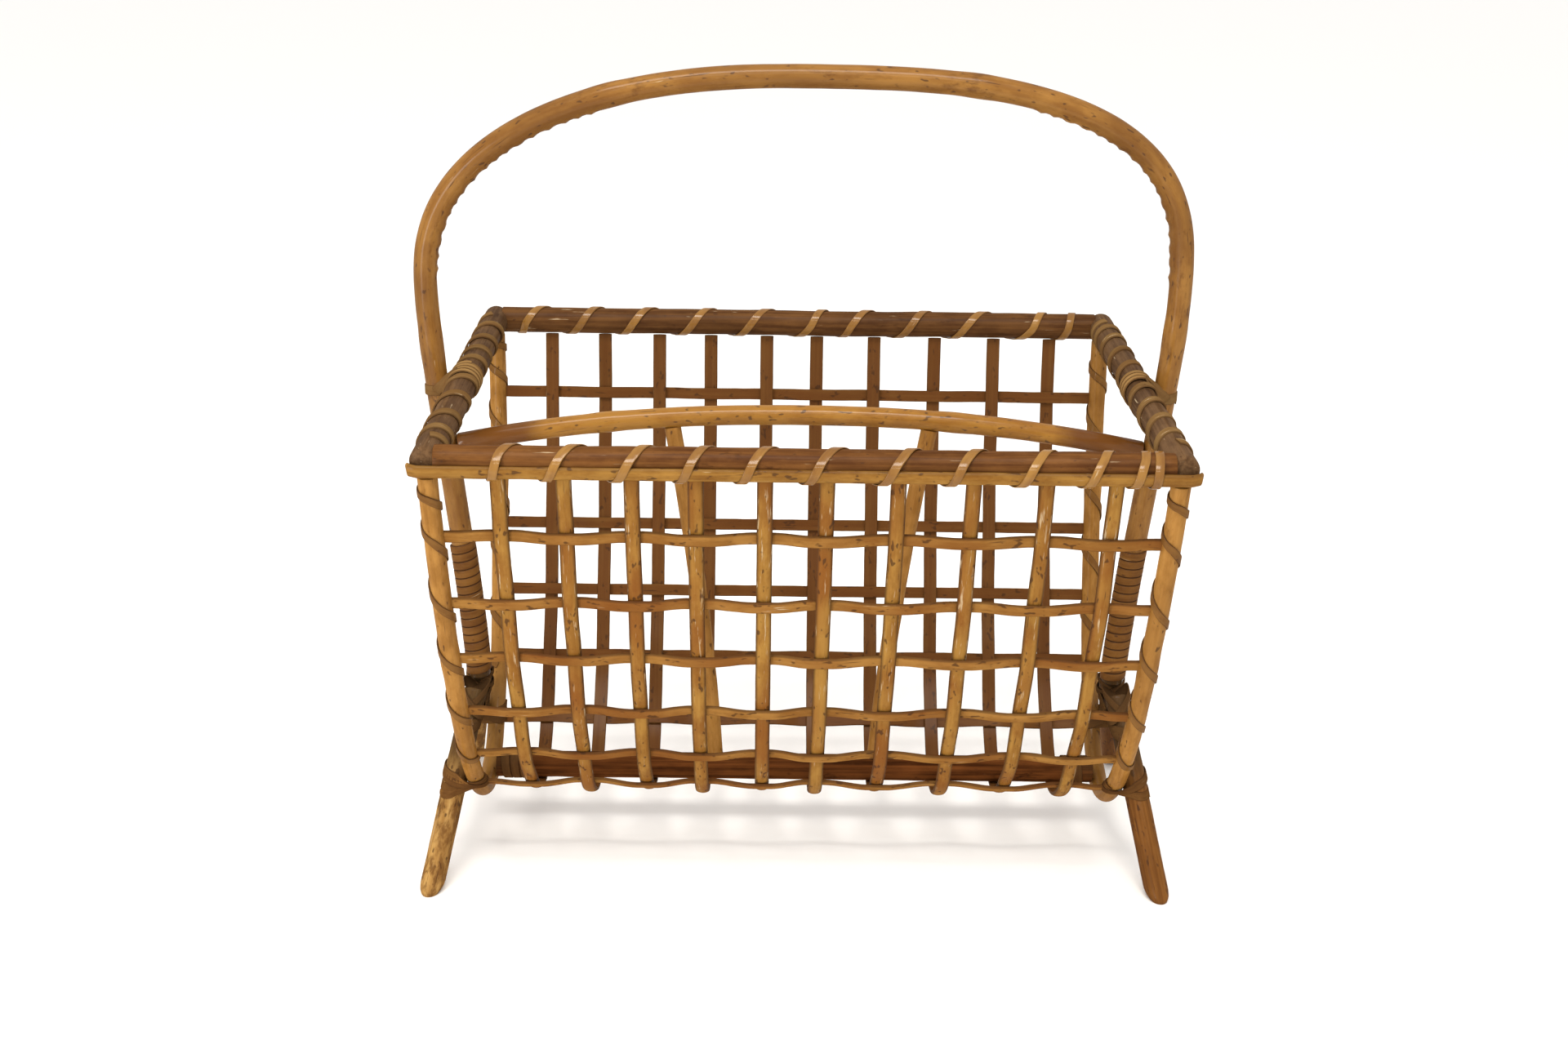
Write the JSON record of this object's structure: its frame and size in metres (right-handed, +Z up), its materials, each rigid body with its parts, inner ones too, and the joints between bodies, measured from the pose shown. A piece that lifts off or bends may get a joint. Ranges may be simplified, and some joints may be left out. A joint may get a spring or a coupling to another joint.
{
  "type": "magazine basket",
  "caption": "Oblong trough-shaped basket of rattan poles and woven cane, with a tall hoop handle, a lengthwise divider and splayed pole legs, for magazines and papers.",
  "frame": {"origin": "on the floor, at the middle of the basket, below the centre of the rim", "axes": "+X along the basket to its right end as seen from the front, +Y from the front to the back, +Z up"},
  "size_m": [0.4556, 0.3074, 0.4833],
  "materials": {
    "dark_pole": "worn dark brown skin, satin",
    "honey_rattan": "honey brown natural skin with dark nodes, satin gloss",
    "split_cane": "golden brown peeled strip, satin gloss",
    "shaded_cane": "darker brown peeled strip, satin",
    "bright_cane": "golden cane skin, glossy",
    "aged_cane": "grey-brown aged cane skin, dull",
    "worn_pole": "scuffed mottled brown skin, satin"
  },
  "bodies": {
    "root": {"front_top_rail": "dark_pole", "back_top_rail": "dark_pole", "left_top_rail": "dark_pole", "right_top_rail": "dark_pole", "keel_pole": "dark_pole", "handle_hoop": "honey_rattan", "left_end_frame": "honey_rattan", "right_end_frame": "honey_rattan", "divider_arch": "honey_rattan", "left_divider_strut": "honey_rattan", "right_divider_strut": "honey_rattan", "front_rim_strip": "split_cane", "back_rim_strip": "split_cane", "stake_01": "split_cane", "stake_02": "split_cane", "stake_03": "split_cane", "stake_04": "split_cane", "stake_05": "split_cane", "stake_06": "split_cane", "stake_07": "split_cane", "stake_08": "split_cane", "stake_09": "split_cane", "stake_10": "split_cane", "front_weaver_1": "split_cane", "front_weaver_2": "split_cane", "front_weaver_3": "split_cane", "front_weaver_4": "split_cane", "front_weaver_5": "split_cane", "front_weaver_6": "split_cane", "back_weaver_1": "shaded_cane", "back_weaver_2": "shaded_cane", "back_weaver_3": "shaded_cane", "back_weaver_4": "shaded_cane", "back_weaver_5": "shaded_cane", "back_weaver_6": "shaded_cane", "front_rim_lashing": "bright_cane", "back_rim_lashing": "bright_cane", "left_rim_lashing": "bright_cane", "right_rim_lashing": "bright_cane", "front_left_post_lashing": "bright_cane", "front_right_post_lashing": "bright_cane", "back_left_post_lashing": "bright_cane", "back_right_post_lashing": "bright_cane", "left_handle_wrap": "bright_cane", "right_handle_wrap": "bright_cane", "left_handle_tie": "bright_cane", "right_handle_tie": "bright_cane", "left_keel_lashing": "aged_cane", "right_keel_lashing": "aged_cane", "front_left_leg_tie": "aged_cane", "front_right_leg_tie": "aged_cane", "back_left_leg_tie": "aged_cane", "back_right_leg_tie": "aged_cane", "left_leg_head_lashing": "aged_cane", "right_leg_head_lashing": "aged_cane", "front_left_leg": "worn_pole", "front_right_leg": "worn_pole", "back_left_leg": "worn_pole", "back_right_leg": "worn_pole"}
  },
  "joints": []
}
